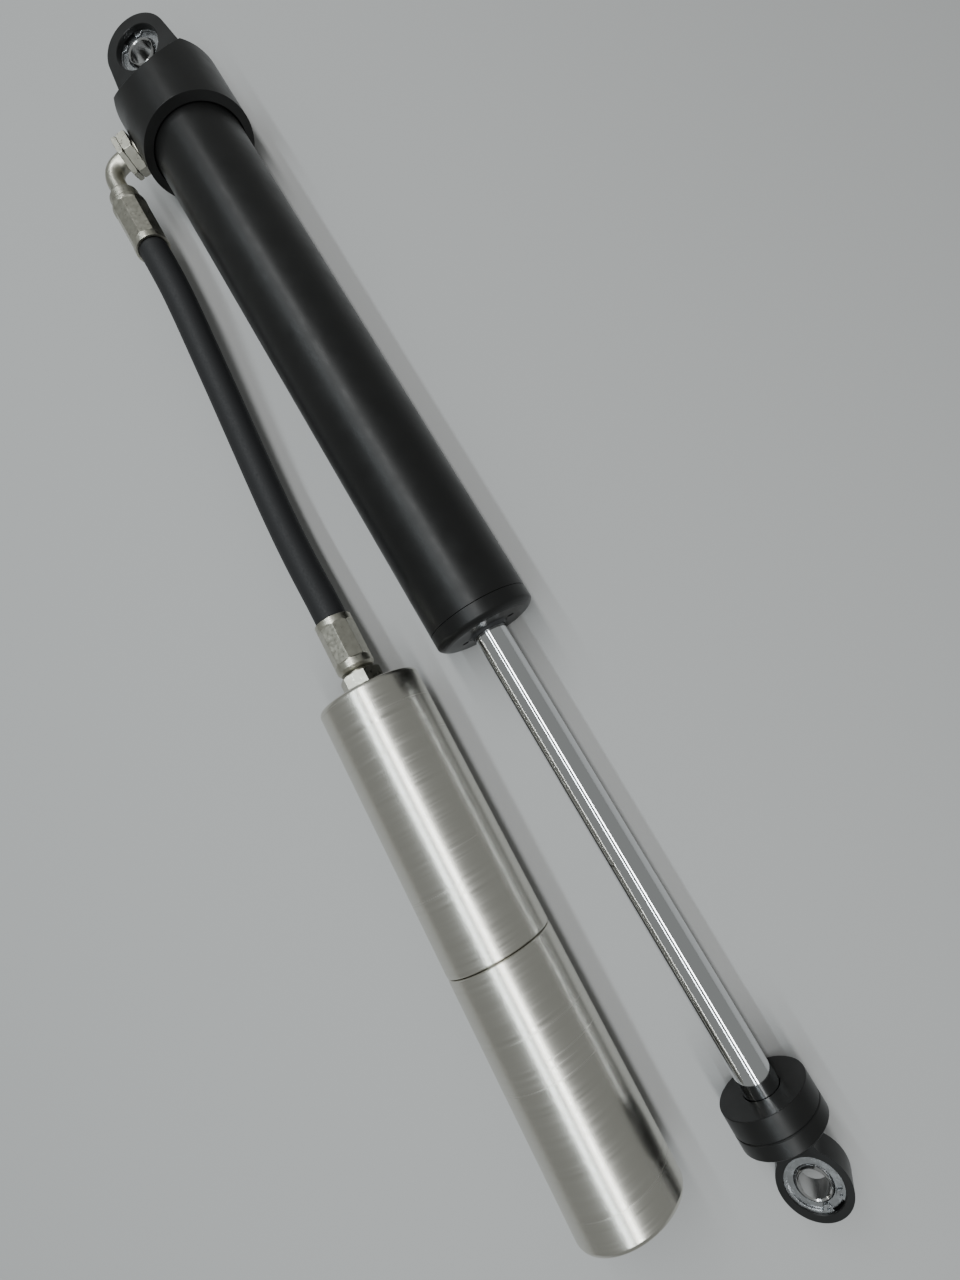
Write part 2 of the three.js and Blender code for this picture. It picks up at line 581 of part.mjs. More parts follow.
// the gas valve: a body through the end cap, a sprung core inside it and a dust cap on it
const VALVE_END = END_CAP_X + 17.5;
place(reservoir, 'gas_valve_body', turned([
  [END_CAP_X - 3, 1.9], [END_CAP_X - 3, 5], [END_CAP_X + 10 + GAP, 5], [END_CAP_X + 10 + GAP, 7.5],
  [END_CAP_X + 12.5, 7.5], [END_CAP_X + 12.5, 4.2], [VALVE_END, 4.2], [VALVE_END, 1.9],
], SMALL), STEEL);
place(reservoir, 'gas_valve_core', bar('x', 1.5, END_CAP_X - 6, VALVE_END - 1.5, 12), BRONZE);
place(reservoir, 'valve_cap', turned([
  [END_CAP_X + 12.5 + GAP, 4.5], [END_CAP_X + 12.5 + GAP, 6.2], [VALVE_END + 1.6, 6.2],
  [VALVE_END + 2.4, 5.4], [VALVE_END + 2.4, 0], [VALVE_END + GAP, 0], [VALVE_END + GAP, 4.5],
], SMALL), STEEL);

// the floating piston between oil and gas
const FLOAT_LENGTH = 30;
function floatingPiston() {
  const side = BORE_RADIUS - 0.6;
  const groove = 28.2;
  const bandSeat = 29.6;
  const body = turned([
    [0, 0], [0, side - 1.8], [1.8, side], [6, side], [6, groove], [10, groove], [10, side],
    [16, side], [16, bandSeat], [26, bandSeat], [26, side], [FLOAT_LENGTH, side],
    [FLOAT_LENGTH, 24], [10, 22], [10, 0],
  ], MEDIUM);
  return body.translate(FLOATING_PISTON_X, 0, 0);
}

place(reservoir, 'floating_piston', floatingPiston(), BRIGHT_ALUMINIUM);
place(reservoir, 'floating_piston_seal', oRing(FLOATING_PISTON_X + 8, 29.9, 1.4), SEAL);
place(
  reservoir,
  'floating_piston_band',
  ring(FLOATING_PISTON_X + 16 + GAP, FLOATING_PISTON_X + 26 - GAP, 29.9, BORE_RADIUS - GAP, LARGE),
  WEAR_BAND,
);

// the hose end at the reservoir: adaptor with its hexagon, hose stem and ferrule
const HEX_X = -13;
place(reservoir, 'reservoir_adaptor', carve(
  [hexNut(25.4, HEX_X, -GAP, 0), bar('x', 7.9, -2, 8.5, SMALL)],
  [bar('x', 4, -30, 20, 16)],
), ZINC);
place(reservoir, 'hose_stem', turned([
  [LOWER_FERRULE_X + LOWER_FERRULE_LENGTH + GAP, 4], [HEX_X - GAP, 4], [HEX_X - GAP, 9.6],
  [HEX_X - 1.4, 9.6], [HEX_X - 1.4, 8], [LOWER_FERRULE_X + LOWER_FERRULE_LENGTH + GAP, 8],
], SMALL), ZINC);
const lowerFerrule = ferrule(LOWER_FERRULE_LENGTH, 0).rotateZ(Math.PI);
place(
  reservoir,
  'lower_ferrule',
  lowerFerrule.translate(LOWER_FERRULE_X + LOWER_FERRULE_LENGTH, 0, 0),
  ZINC,
);

// ---------------------------------------------------------------- hose
const routePoints = HOSE_ROUTE.map((point) => new THREE.Vector3(...point));
const hosePath = new THREE.CatmullRomCurve3(routePoints, false, 'centripetal');
const hoseOptions = { steps: 15, extrudePath: hosePath };
const hoseTube = new THREE.ExtrudeGeometry(circleShape(HOSE_RADIUS, 12), hoseOptions);
place(object, 'hose', shell(hoseTube), RUBBER);

object.updateMatrixWorld(true);

export default object;
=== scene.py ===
"""A long-stroke hydraulic cylinder with a remote gas reservoir on a crimped hose, in Blender.

The fine visible pieces are built here, in the frame of the CAD model. Outlines are in
millimetres, as (station, radius) pairs along the cylinder's or the reservoir's own axis.
"""

import json
import math

import bmesh
import bpy
from mathutils import Matrix, Vector


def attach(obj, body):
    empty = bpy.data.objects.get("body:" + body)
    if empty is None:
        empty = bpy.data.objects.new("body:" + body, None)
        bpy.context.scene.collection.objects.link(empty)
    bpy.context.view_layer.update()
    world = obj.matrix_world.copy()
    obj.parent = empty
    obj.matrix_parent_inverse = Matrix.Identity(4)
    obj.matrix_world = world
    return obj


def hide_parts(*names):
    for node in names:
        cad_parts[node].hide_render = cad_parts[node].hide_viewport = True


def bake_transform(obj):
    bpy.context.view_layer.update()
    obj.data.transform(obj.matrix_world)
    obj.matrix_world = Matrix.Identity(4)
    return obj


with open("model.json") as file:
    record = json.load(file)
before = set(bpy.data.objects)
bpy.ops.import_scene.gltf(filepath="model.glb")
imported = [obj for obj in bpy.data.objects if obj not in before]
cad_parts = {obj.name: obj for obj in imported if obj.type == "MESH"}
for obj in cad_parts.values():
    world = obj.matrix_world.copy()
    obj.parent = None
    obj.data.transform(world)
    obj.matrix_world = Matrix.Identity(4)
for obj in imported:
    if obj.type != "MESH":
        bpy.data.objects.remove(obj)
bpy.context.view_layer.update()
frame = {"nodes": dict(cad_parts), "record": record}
scene = bpy.context.scene

# ---------------------------------------------------------------- sizes, in millimetres
MM = 0.001
TURN = 2 * math.pi
GAP = 0.3
FINE = 160                      # sides of the large round pieces
MIDDLE = 96
SMALL = 48

TUBE_RADIUS = 34.925            # 2.75 in tube with a 2.5 in bore and a 7/8 in rod
BORE_RADIUS = 31.75
ROD_RADIUS = 11.1125
CAP_RADIUS = 42.4
CAP_MOUTH = -418.5              # stations run from the tube's rod-end face
CAP_END = -476.4
CAP_SOCKET_END = -440.0
CAP_ROLL = 0.10                 # the head eye's turn about the cylinder axis
PORT_X = -452.4
UPPER_EYE_X = -516.5
UPPER_EYE_RADIUS = 27.2
UPPER_EYE_HALF = 13.0
LOWER_EYE_X = 371.1
LOWER_EYE_RADIUS = 19.6
LOWER_EYE_HALF = 8.8
LOWER_NECK_HALF = 11.5
LOWER_NECK_FILLET = 6.0
LOWER_EYE_ROLL = 0.28
GLAND_FACE = 12.7
GLAND_RIM = 8.3
COLLAR_RADIUS = 26.8
COLLAR_X = 321.0
FLANGE_X = 334.1
FLANGE_END = 343.7
UPPER_BEARING = {"bore": 9.525, "ball": 14.29, "half": 9.5, "race": 18.25, "race_half": 7.53}
LOWER_BEARING = {"bore": 7.94, "ball": 11.9, "half": 7.94, "race": 15.08, "race_half": 6.35}

RESERVOIR_LENGTH = 334.4
RESERVOIR_SEAM = 179.2
END_CAP_X = 314.0
RESERVOIR_HEADING = -0.0279

HOSE_RADIUS = 11.0
FERRULE_RADIUS = 13.0
ELBOW_RADIUS = 7.0
ELBOW_BEND = 15.0
ADAPTOR_OUT = 50.3
NUT_OUT = 55.0
UPPER_FERRULE_X = -426.0
UPPER_FERRULE_LENGTH = 55.0
LOWER_FERRULE_X = -54.2
LOWER_FERRULE_LENGTH = 38.4
HEX_X = -13.0
LAY_LINE = 0.93                 # where the hose's lay line runs, in turns round the hose

CLIP_HALF = 0.55                # half the thickness of a snap ring
CLIP_LIFT = 0.65                # a snap ring's middle above its bearing race, less half a gap
CLIP_DEPTH = 1.1                # how far a snap ring's groove is cut into its seat
CLIP_GROOVE_HALF = 0.7
FLOOR_SIDE = 12000.0
LAMP_LENGTH = 3.2               # metres

# the camera, in metres in the object's frame
CAMERA_PLACE = Vector((0.1784, 0.0713, 0.4664))
CAMERA_AHEAD = Vector((-0.1947, -0.0767, -0.9779))
CAMERA_ABOVE = Vector((-0.8445, 0.5202, 0.1274))
CAMERA_LENS = 19.14
CAMERA_SENSOR = 36

# the hose's centre line in the object's frame, in metres, from the upper ferrule to the lower one
HOSE_ROUTE = [
    (-0.2941, -0.0245, 0.0414), (-0.2768, -0.0244, 0.0410), (-0.2568, -0.0249, 0.0396),
    (-0.2348, -0.0266, 0.0374), (-0.2108, -0.0289, 0.0351), (-0.1868, -0.0312, 0.0330),
    (-0.1628, -0.0334, 0.0313), (-0.1388, -0.0356, 0.0301), (-0.1148, -0.0376, 0.0295),
    (-0.0908, -0.0394, 0.0295), (-0.0668, -0.0408, 0.0302), (-0.0428, -0.0417, 0.0315),
    (-0.0208, -0.0420, 0.0330), (-0.0028, -0.0419, 0.0341), (0.0132, -0.0418, 0.0348),
    (0.0282, -0.0422, 0.0349),
]

# the frames of the two long pieces: the cylinder lies on its cap's rim and its gland's rim
SLOPE = math.atan((CAP_RADIUS - TUBE_RADIUS) / (GLAND_RIM - CAP_MOUTH))
SEAM_HEIGHT = CAP_RADIUS * math.cos(SLOPE) + CAP_MOUTH * math.sin(SLOPE)
CYLINDER = Matrix.Translation(Vector((76.5, 45.5, SEAM_HEIGHT)) * MM) @ Matrix.Rotation(SLOPE, 4, "Y")
RESERVOIR = (Matrix.Translation(Vector((82.8, -43.7, TUBE_RADIUS)) * MM)
             @ Matrix.Rotation(RESERVOIR_HEADING, 4, "Z"))
UPPER_EYE = (CYLINDER @ Matrix.Rotation(CAP_ROLL, 4, "X")
             @ Matrix.Translation((UPPER_EYE_X * MM, 0, 0)))
LOWER_EYE = (CYLINDER @ Matrix.Rotation(LOWER_EYE_ROLL, 4, "X")
             @ Matrix.Translation((LOWER_EYE_X * MM, 0, 0)))
UPRIGHT = Matrix.Rotation(-math.pi / 2, 4, "Y")    # turns a lathe's X axis to an eye's Z axis
PORT = CYLINDER @ Matrix.Translation((PORT_X * MM, 0, 0)) @ Matrix.Rotation(-math.pi / 2, 4, "Z")


# ---------------------------------------------------------------- camera
def add_camera():
    """The photograph's camera: a short lens close above the object."""
    place = CAMERA_PLACE
    ahead = CAMERA_AHEAD.normalized()
    right = ahead.cross(CAMERA_ABOVE).normalized()
    above = right.cross(ahead)
    data = bpy.data.cameras.new("camera")
    data.sensor_width = CAMERA_SENSOR
    data.lens = CAMERA_LENS
    data.clip_start = 0.01
    camera = bpy.data.objects.new("camera", data)
    camera.matrix_world = Matrix((
        (right.x, above.x, -ahead.x, place.x),
        (right.y, above.y, -ahead.y, place.y),
        (right.z, above.z, -ahead.z, place.z),
        (0, 0, 0, 1),
    ))
    scene.collection.objects.link(camera)
    scene.camera = camera


# ---------------------------------------------------------------- mesh helpers
def rounded(outline, radius, steps=3):
    """The closed outline with each corner off the axis turned into a small arc."""
    result = []
    for i, point in enumerate(outline):
        corner = Vector(point)
        before = Vector(outline[i - 1]) - corner
        after = Vector(outline[(i + 1) % len(outline)]) - corner
        cut = min(radius, 0.45 * before.length, 0.45 * after.length)
        if corner.y == 0 or cut == 0:
            result.append(tuple(corner))
            continue
        start = corner + before.normalized() * cut
        end = corner + after.normalized() * cut
        for step in range(steps + 1):
            t = step / steps
            result.append(tuple((1 - t) ** 2 * start + 2 * t * (1 - t) * corner + t * t * end))
    return result


def spun(outline, radius_at, sides):
    """A closed surface round X. radius_at(station, radius, angle) gives each point's radius."""
    bm = bmesh.new()
    rings = []
    for i in range(sides):
        angle = TURN * i / sides
        ring = []
        for station, radius in outline:
            r = radius_at(station, radius, angle)
            point = (station * MM, r * math.cos(angle) * MM, r * math.sin(angle) * MM)
            ring.append(bm.verts.new(point))
        rings.append(ring)
    count = len(outline)
    for here, there in zip(rings, rings[1:] + rings[:1]):
        for a in range(count):
            b = (a + 1) % count
            bm.faces.new((here[a], here[b], there[b], there[a]))
    bmesh.ops.remove_doubles(bm, verts=bm.verts, dist=1e-7)
    bmesh.ops.delete(bm, geom=[edge for edge in bm.edges if edge.is_wire], context="EDGES")
    bmesh.ops.recalc_face_normals(bm, faces=bm.faces)
    return bm


def turned(outline, sides=MIDDLE, edge=0.3):
    """A lathe-turned solid round X, with its corners rounded by edge."""
    return spun(rounded(outline, edge), lambda station, radius, angle: radius, sides)


def bar(axis, radius, start, end, sides=SMALL):
    """A round bar along the named axis."""
    bm = turned([(start, 0), (end, 0), (end, radius), (start, radius)], sides, 0)
    if axis == "y":
        bm.transform(Matrix.Rotation(math.pi / 2, 4, "Z"))
    if axis == "z":
        bm.transform(UPRIGHT)
    return bm


def block(size, middle):
    """A box of the given size about a middle point."""
    bm = bmesh.new()
    bmesh.ops.create_cube(bm, size=1)
    bm.transform(Matrix.Translation(Vector(middle) * MM) @ Matrix.Diagonal((*(Vector(size) * MM), 1)))
    return bm


def arc(x, y, radius, start, end, steps):
    """Points along an arc about (x, y), both ends included."""
    return [(x + radius * math.cos(start + (end - start) * i / steps),
             y + radius * math.sin(start + (end - start) * i / steps)) for i in range(steps + 1)]


def plate(outline, half):
    """A flat outline in XY, made thick about Z = 0."""
    bm = bmesh.new()
    face = bm.faces.new([bm.verts.new((x * MM, y * MM, -half * MM)) for x, y in outline])
    grown = bmesh.ops.extrude_face_region(bm, geom=[face])["geom"]
    top = [v for v in grown if isinstance(v, bmesh.types.BMVert)]
    bmesh.ops.translate(bm, verts=top, vec=(0, 0, 2 * half * MM))
    bmesh.ops.recalc_face_normals(bm, faces=bm.faces)
    return bm


def as_object(bm, name="tool"):
    """Puts a bmesh in the scene as an object and frees it."""
    mesh = bpy.data.meshes.new(name)
    bm.to_mesh(mesh)
    bm.free()
    obj = bpy.data.objects.new(name, mesh)
    scene.collection.objects.link(obj)
    return obj


def applied(obj):
    """The object's mesh with its modifiers in it."""
    view = obj.evaluated_get(bpy.context.evaluated_depsgraph_get())
    return bpy.data.meshes.new_from_object(view)


def combined(base, tools, operation):
    """base with every tool joined to it (UNION), cut from it (DIFFERENCE) or crossed with it."""
    body = as_object(base)
    others = [as_object(tool) for tool in tools]
    for other in others:
        step = body.modifiers.new("step", "BOOLEAN")
        step.object = other
        step.operation = operation
        step.solver = "EXACT"
    result = bmesh.new()
    result.from_mesh(applied(body))
    for obj in (body, *others):
        bpy.data.objects.remove(obj)
    return result


def hexagon(across_flats, start, end, hole):
    """A hexagon bar along X with turned-down corners, and a hole if its radius isn't 0."""
    bevel = 1.3
    corner = across_flats / math.sqrt(3)
    prism = turned([(start, 0), (end, 0), (end, corner), (start, corner)], 6, 0)
    lens = turned([
        (start, 0), (start, corner - bevel), (start + 0.6 * bevel, corner + 0.1),
        (end - 0.6 * bevel, corner + 0.1), (end, corner - bevel), (end, 0),
    ], MIDDLE, 0)
    solid = combined(prism, [lens], "INTERSECT")
    return combined(solid, [bar("x", hole, start - 1, end + 1)], "DIFFERENCE") if hole else solid


def swept(points, radii, sides, uv=False):
    """A closed tube along points, with a radius at each point and, if asked, a map of its skin."""
    bm = bmesh.new()
    tangents = []
    for i in range(len(points)):
        ahead = points[min(i + 1, len(points) - 1)] - points[max(i - 1, 0)]
        tangents.append(ahead.normalized())
    side = tangents[0].cross(Vector((0, 0, 1))).normalized()
    rings = []
    for point, tangent, radius in zip(points, tangents, radii):
        side = (side - tangent * side.dot(tangent)).normalized()
        up = side.cross(tangent)
        rings.append([bm.verts.new(point + radius * (math.cos(TURN * k / sides) * side
                                                     + math.sin(TURN * k / sides) * up))
                      for k in range(sides)])
    skin = bm.loops.layers.uv.new("skin") if uv else None
    travelled = [0.0]
    for a, b in zip(points, points[1:]):
        travelled.append(travelled[-1] + (b - a).length)
    for i in range(len(rings) - 1):
        for k in range(sides):
            j = (k + 1) % sides
            face = bm.faces.new((rings[i][k], rings[i][j], rings[i + 1][j], rings[i + 1][k]))
            if uv:
                corners = ((k, i), (k + 1, i), (k + 1, i + 1), (k, i + 1))
                for loop, (around, along) in zip(face.loops, corners):
                    loop[skin].uv = (around / sides, travelled[along])
    bm.faces.new(rings[0])
    bm.faces.new(rings[-1])
    bmesh.ops.recalc_face_normals(bm, faces=bm.faces)
    return bm


def softened(bm, width):
    """Small bevels on every hard edge."""
    obj = as_object(bm)
    bevel = obj.modifiers.new("bevel", "BEVEL")
    bevel.width = width * MM
    bevel.segments = 3
    bevel.limit_method = "ANGLE"
    bevel.angle_limit = math.radians(33)
    result = bmesh.new()
    result.from_mesh(applied(obj))
    bpy.data.objects.remove(obj)
    return result


def shade(obj, flat_over=30):
    """Smooth shading that keeps hard edges hard and big faces flat."""
    obj.data.polygons.foreach_set("use_smooth", [True] * len(obj.data.polygons))
    obj.data.set_sharp_from_angle(angle=math.radians(flat_over))
    weighted = obj.modifiers.new("weighted", "WEIGHTED_NORMAL")
    weighted.keep_sharp = True
    weighted.weight = 80


def piece(name, bm, place, finish, body, nodes):
    """Turns a bmesh into a shown piece that rides on a body and stands for CAD nodes."""
    obj = as_object(bm, name)
    shade(obj)
    obj.matrix_world = place
    obj.data.materials.clear()
    obj.data.materials.append(MATERIALS[finish])
    bpy.context.view_layer.update()
    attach(obj, body)
    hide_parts(*nodes)


# ---------------------------------------------------------------- materials
class Finish:
    """A Principled material with a few helpers for its procedural textures."""

    def __init__(self, name, color, metallic, roughness, specular=0.5):
        self.material = bpy.data.materials.new(name)
        self.material.use_nodes = True
        self.tree = self.material.node_tree
        self.shader = self.tree.nodes["Principled BSDF"]
        self.set("Base Color", (*color, 1))
        self.set("Metallic", metallic)
        self.set("Roughness", roughness)
        self.set("Specular IOR Level", specular)

    def set(self, socket, value):
        self.shader.inputs[socket].default_value = value

    def node(self, kind, **values):
        node = self.tree.nodes.new(kind)
        for key, value in values.items():
            if key in node.inputs:
                node.inputs[key].default_value = value
            else:
                setattr(node, key, value)
        return node

    def link(self, start, end):
        self.tree.links.new(start, end)

    def place(self, scale, output="Object"):
        """Texture coordinates stretched by scale."""
        source = self.node("ShaderNodeTexCoord")
        mapping = self.node("ShaderNodeMapping")
        mapping.inputs["Scale"].default_value = scale
        self.link(source.outputs[output], mapping.inputs["Vector"])
        return mapping.outputs["Vector"]

    def noise(self, scale, detail=4.0, roughness=0.6, output="Object"):
        texture = self.node("ShaderNodeTexNoise", Scale=1.0, Detail=detail, Roughness=roughness)
        self.link(self.place(scale, output), texture.inputs["Vector"])
        return texture.outputs["Fac"]

    def ranged(self, value, low, high, start=0.3, end=0.7):
        """The value's span from start to end, stretched to run from low to high."""
        node = self.node("ShaderNodeMapRange")
        node.inputs["From Min"].default_value = start
        node.inputs["From Max"].default_value = end
        node.inputs["To Min"].default_value = low
        node.inputs["To Max"].default_value = high
        self.link(value, node.inputs["Value"])
        return node.outputs["Result"]

    def tint(self, value, dark, light):
        """The base colour runs from dark to light with the value."""
        ramp = self.node("ShaderNodeMix", data_type="RGBA")
        ramp.inputs[6].default_value = (*dark, 1)
        ramp.inputs[7].default_value = (*light, 1)
        self.link(value, ramp.inputs[0])
        self.link(ramp.outputs[2], self.shader.inputs["Base Color"])

    def rough(self, value, low, high):
        self.link(self.ranged(value, low, high), self.shader.inputs["Roughness"])

    def bump(self, value, depth, strength=1.0):
        """Adds relief of a depth in millimetres over any bump that is already there."""
        node = self.node("ShaderNodeBump", Strength=strength, Distance=depth * MM)
        self.link(value, node.inputs["Height"])
        before = self.shader.inputs["Normal"]
        if before.is_linked:
            self.link(before.links[0].from_socket, node.inputs["Normal"])
        self.link(node.outputs["Normal"], before)

    def turned_lines(self, depth, pitch=0.25, around=14.0):
        """Fine tool marks round the X axis."""
        self.bump(self.noise((1 / (pitch * MM), around, around), 3.0), depth)


def black_anodised():
    """Satin black with faint blotches and fine tool marks."""
    finish = Finish("black_anodised", (0.013, 0.0135, 0.015), 0.55, 0.36, 0.45)
    blotch = finish.noise((9, 22, 22), 5.0)
    finish.tint(blotch, (0.011, 0.011, 0.0108), (0.020, 0.0202, 0.0196))
    finish.rough(finish.noise((60, 60, 60), 6.0), 0.31, 0.43)
    finish.bump(finish.noise((2600, 2600, 2600), 2.0), 0.010, 0.6)
    finish.turned_lines(0.0025, 0.6)
    return finish.material


def hard_chrome():
    """Near-mirror chrome with a slightly uneven polish."""
    finish = Finish("hard_chrome", (0.70, 0.71, 0.72), 1.0, 0.05)
    finish.rough(finish.noise((30, 12, 12), 5.0), 0.035, 0.085)
    finish.turned_lines(0.0006, 0.4)
    return finish.material


def turned_aluminium():
    """Bare aluminium whose sheen is drawn out round X by the lathe."""
    finish = Finish("turned_aluminium", (0.62, 0.605, 0.55), 1.0, 0.23)
    finish.tint(finish.noise((12, 4, 4), 4.0), (0.57, 0.555, 0.50), (0.66, 0.645, 0.59))
    finish.rough(finish.noise((420, 3, 3), 3.0), 0.18, 0.28)
    finish.set("Anisotropic", 0.45)
    tangent = finish.node("ShaderNodeTangent", direction_type="RADIAL", axis="X")
    finish.link(tangent.outputs["Tangent"], finish.shader.inputs["Tangent"])
    finish.turned_lines(0.0003, 0.3, 2.0)
    return finish.material


def machined(name, color, roughness, lines=0.003, patina=0.12):
    """Plain machined metal with tool marks and a slightly uneven sheen."""
    finish = Finish(name, color, 1.0, roughness)
    dull = tuple(c * (1 - patina) for c in color)
    bright = tuple(min(1.0, c * (1 + patina)) for c in color)
    finish.tint(finish.noise((140, 140, 140), 5.0), dull, bright)
    finish.rough(finish.noise((260, 260, 260), 6.0), roughness * 0.75, roughness * 1.3)
    finish.turned_lines(lines, 0.3, 60.0)
    return finish.material


def zinc_plate():
    """Dull yellow-grey plating with a mottled sheen."""
    finish = Finish("zinc_plate", (0.50, 0.485, 0.42), 1.0, 0.33)
    finish.tint(finish.noise((160, 160, 160), 6.0), (0.36, 0.35, 0.295), (0.60, 0.585, 0.51))
    finish.rough(finish.noise((420, 420, 420), 6.0), 0.24, 0.46)
    finish.bump(finish.noise((1300, 1300, 1300), 3.0), 0.012, 0.7)
    return finish.material


def hose_rubber():
    """Black rubber with the print of its curing cloth and a broken pale lay line."""
    finish = Finish("hose_rubber", (0.012, 0.0122, 0.013), 0.0, 0.62, 0.35)
    finish.rough(finish.noise((700, 700, 700), 5.0), 0.52, 0.72)
    cloth = finish.noise((260.0, 2600.0, 1.0), 2.0, 0.5, "UV")
    finish.bump(cloth, 0.05, 0.6)
    finish.bump(finish.noise((1500, 1500, 1500), 4.0), 0.05, 0.7)
    # the lay line: a narrow band along the hose, broken into flecks
    split = finish.node("ShaderNodeSeparateXYZ")
    finish.link(finish.place((1, 1, 1), "UV"), split.inputs["Vector"])
    away = finish.node("ShaderNodeMath", operation="SUBTRACT")
    away.inputs[1].default_value = LAY_LINE
    finish.link(split.outputs["X"], away.inputs[0])
    distance = finish.node("ShaderNodeMath", operation="ABSOLUTE")
    finish.link(away.outputs["Value"], distance.inputs[0])
    band = finish.ranged(distance.outputs["Value"], 1.0, 0.0, 0.004, 0.011)
    flecks = finish.ranged(finish.noise((90.0, 420.0, 1.0), 3.0, 0.7, "UV"), 0.0, 1.0, 0.53, 0.60)
    print_mask = finish.node("ShaderNodeMath", operation="MULTIPLY")
    finish.link(band, print_mask.inputs[0])
    finish.link(flecks, print_mask.inputs[1])
    finish.tint(print_mask.outputs["Value"], (0.012, 0.0122, 0.013), (0.42, 0.43, 0.44))
    return finish.material


def rubber(name, color, roughness):
    """Plain moulded rubber or plastic with a fine grain."""
    finish = Finish(name, color, 0.0, roughness, 0.4)
    finish.rough(finish.noise((300, 300, 300), 5.0), roughness * 0.85, roughness * 1.15)
    finish.bump(finish.noise((1800, 1800, 1800), 3.0), 0.01, 0.6)
    return finish.material


MATERIALS = {
    "black_anodised": black_anodised(),
    "hard_chrome": hard_chrome(),
    "ball_steel": machined("ball_steel", (0.56, 0.56, 0.56), 0.17, 0.001, 0.06),
    "turned_aluminium": turned_aluminium(),
    "plain_aluminium": machined("plain_aluminium", (0.66, 0.66, 0.65), 0.30),
    "zinc_plate": zinc_plate(),
    "spring_steel": machined("spring_steel", (0.42, 0.43, 0.44), 0.24, 0.002, 0.10),
    "bronze": machined("bronze", (0.55, 0.34, 0.13), 0.34),
    "hose_rubber": hose_rubber(),
    "bumper_rubber": rubber("bumper_rubber", (0.02, 0.02, 0.022), 0.70),
    "seal_rubber": rubber("seal_rubber", (0.024, 0.025, 0.027), 0.48),
    "wear_band": rubber("wear_band", (0.11, 0.075, 0.045), 0.55),
}


def dress_cad_nodes():
    """Every CAD node gets its slot's material; the outside ones are then replaced by finer pieces."""
    for part in frame["record"]["subparts"]:
        node = frame["nodes"][part["node"]]
        node.data.materials.clear()
        node.data.materials.append(MATERIALS[part["material_slot"]])


# ---------------------------------------------------------------- hose
def catmull(route, steps):
    """Points on one smooth curve through the route."""
    ends = [2 * route[0] - route[1], *route, 2 * route[-1] - route[-2]]
    points = []
    for p0, p1, p2, p3 in zip(ends, ends[1:], ends[2:], ends[3:]):
        for i in range(steps):
            t = i / steps
            points.append(0.5 * (2 * p1 + (p2 - p0) * t + (2 * p0 - 5 * p1 + 4 * p2 - p3) * t * t
                                 + (3 * p1 - p0 - 3 * p2 + p3) * t ** 3))
    return [*points, route[-1]]


def add_hose():
    """The hose between the two ferrules, which bends from the cylinder to the reservoir."""
    centres = catmull([Vector(point) for point in HOSE_ROUTE], 12)
    radii = [HOSE_RADIUS * MM] * len(centres)
    hose = as_object(swept(centres, radii, MIDDLE, uv=True), "hose_skin")
    shade(hose, 40)
    hose.data.materials.append(MATERIALS["hose_rubber"])
    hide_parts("hose")
    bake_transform(hose)


# ---------------------------------------------------------------- eyes and bearings
def tapered_eye(eye_x, radius, root_x, root_half):
    """A round eye whose straight sides run tangent from a wider root on its +X side."""
    run = root_x - eye_x
    touch = math.atan2(root_half, run) + math.acos(radius / math.hypot(run, root_half))
    return [(root_x, root_half), *arc(eye_x, 0, radius, touch, TURN - touch, 96),
            (root_x, -root_half)]


def necked_eye(eye_x, radius, root_x, neck_half, fillet):
    """A round eye on a narrow neck on its -X side, with a fillet where they meet."""
    fillet_y = neck_half + fillet
    fillet_x = eye_x - math.sqrt((radius + fillet) ** 2 - fillet_y ** 2)
    meet = math.atan2(fillet_y, eye_x - fillet_x)
    return [
        (root_x, -neck_half), *arc(fillet_x, -fillet_y, fillet, math.pi / 2, meet, 16),
        *arc(eye_x, 0, radius, meet - math.pi, math.pi - meet, 96)[1:-1],
        *arc(fillet_x, fillet_y, fillet, -meet, -math.pi / 2, 16), (root_x, neck_half),
    ]


def snap_height(bearing):
    """The height of a snap ring's middle above the middle of its bearing."""
    return bearing["race_half"] + GAP / 2 + CLIP_LIFT


def eye_cutter(bearing, half, x, roll):
    """The bearing's seat with its two snap ring grooves and a lead-in chamfer at each face."""
    seat = bearing["race"] + GAP
    deep = seat + CLIP_DEPTH
    low = snap_height(bearing) - CLIP_GROOVE_HALF
    high = snap_height(bearing) + CLIP_GROOVE_HALF
    lead = 0.35
    past = 40
    side = [(past, 0), (past, seat + lead), (half, seat + lead), (half - lead, seat), (high, seat),
            (high, deep), (low, deep), (low, seat)]
    cutter = turned(side + [(-z, r) for z, r in reversed(side)], FINE, 0)
    cutter.transform(Matrix.Rotation(roll, 4, "X") @ Matrix.Translation((x * MM, 0, 0)) @ UPRIGHT)
    return cutter


def snap_ring(radius, width, gap):
    """An internal snap ring: a C with a drilled lug at each end of its gap."""
    lug_turn = 0.30
    lug = radius - 2.3 * width
    outline = arc(0, 0, radius, gap, TURN - gap, 128)
    outline += arc(0, 0, lug, TURN - gap - 0.04, TURN - gap - lug_turn, 12)
    outline += arc(0, 0, radius - width, TURN - gap - lug_turn - 0.1, gap + lug_turn + 0.1, 96)
    outline += arc(0, 0, lug, gap + lug_turn, gap + 0.04, 12)
    holes = []
    for side in (-1, 1):
        turn = side * (gap + 0.5 * lug_turn + 0.02)
        hole = bar("z", 0.85, -4, 4, 24)
        reach = (radius - 1.25 * width) * MM
        hole.transform(Matrix.Translation((reach * math.cos(turn), reach * math.sin(turn), 0)))
        holes.append(hole)
    return combined(softened(plate(outline, CLIP_HALF), 0.14), holes, "DIFFERENCE")


